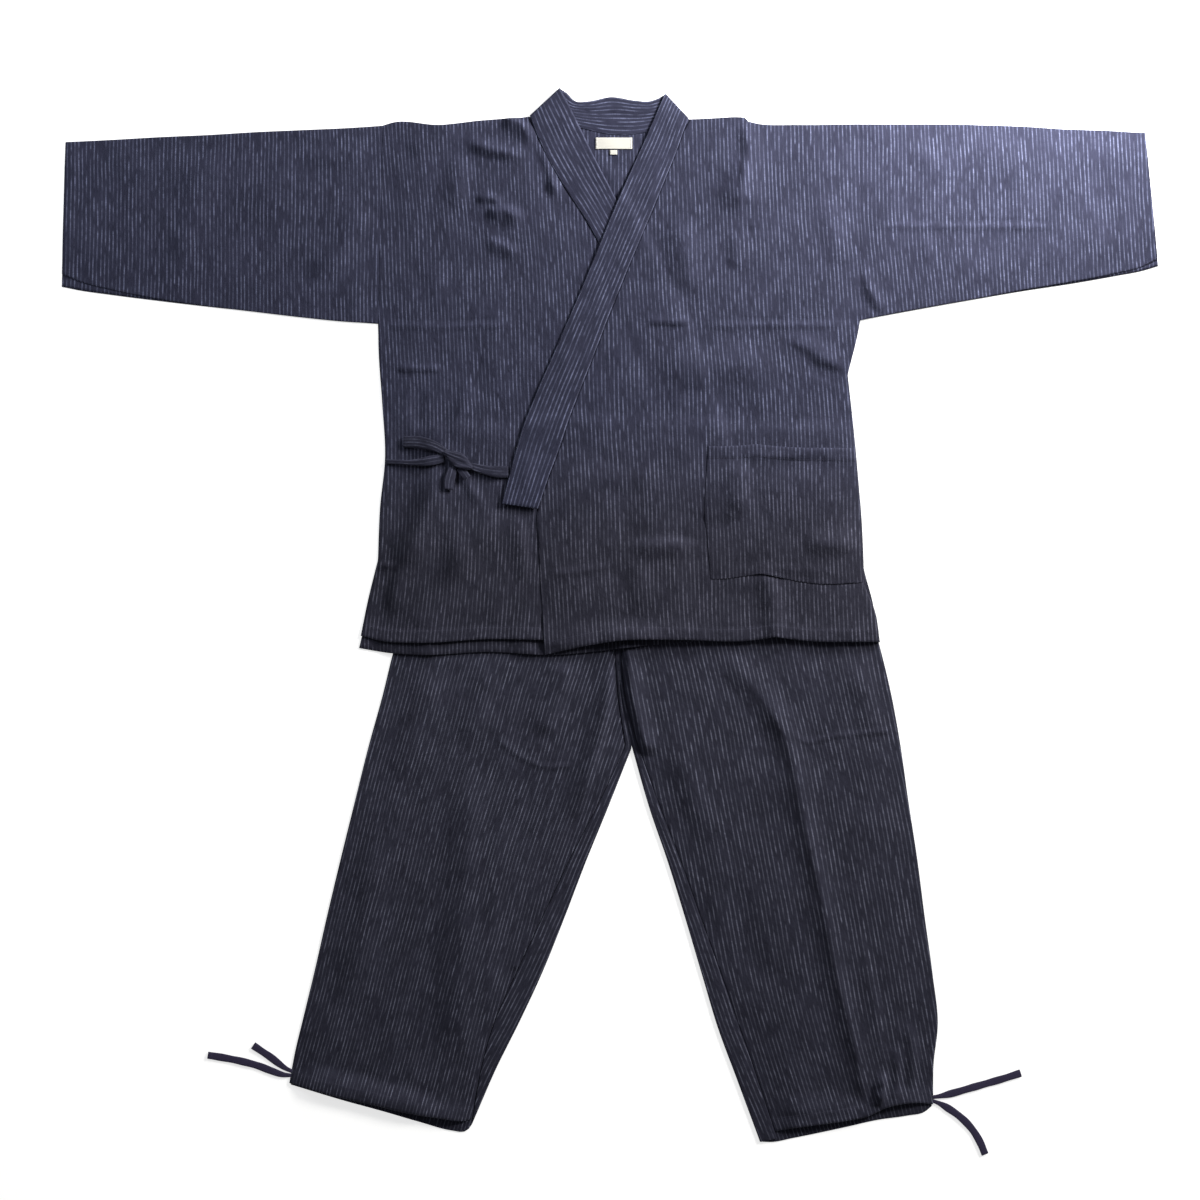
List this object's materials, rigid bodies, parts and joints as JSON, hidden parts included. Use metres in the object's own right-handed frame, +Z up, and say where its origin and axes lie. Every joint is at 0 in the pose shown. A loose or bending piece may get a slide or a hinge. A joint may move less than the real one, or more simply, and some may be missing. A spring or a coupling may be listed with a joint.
{
  "type": "samue work suit laid flat",
  "caption": "Cotton samue laid flat: crossed-front jacket with collar band, straight sleeves, patch pocket and tied side bow, over loose tapered trousers with drawstring hems.",
  "frame": {"origin": "middle of the underside of the laid-out suit, drawstring ends left out", "axes": "+X to the wearer's left, +Y towards the neck, +Z up from the surface, front of the garment up"},
  "size_m": [1.535, 1.4949, 0.0162],
  "materials": {
    "cloth": "matt indigo slub cotton with broken white pinstripes",
    "tie_cloth": "the same striped cotton, sewn into straps",
    "drawstring": "flat woven navy tape",
    "label": "plain white woven label, left bare"
  },
  "bodies": {
    "root": {"jacket_back": "cloth", "jacket_front_right": "cloth", "jacket_front_left": "cloth", "collar": "cloth", "pocket": "cloth", "sleeve_right": "cloth", "sleeve_left": "cloth", "leg_back_right": "cloth", "leg_back_left": "cloth", "leg_front_right": "cloth", "leg_front_left": "cloth", "waistband": "cloth", "tie_side": "tie_cloth", "tie_front": "tie_cloth", "bow_loop": "tie_cloth", "bow_end_long": "tie_cloth", "bow_end_short": "tie_cloth", "knot": "tie_cloth", "drawstring_right_long": "drawstring", "drawstring_right_short": "drawstring", "drawstring_left_long": "drawstring", "drawstring_left_short": "drawstring", "neck_label": "label", "size_tab": "label"}
  },
  "joints": []
}
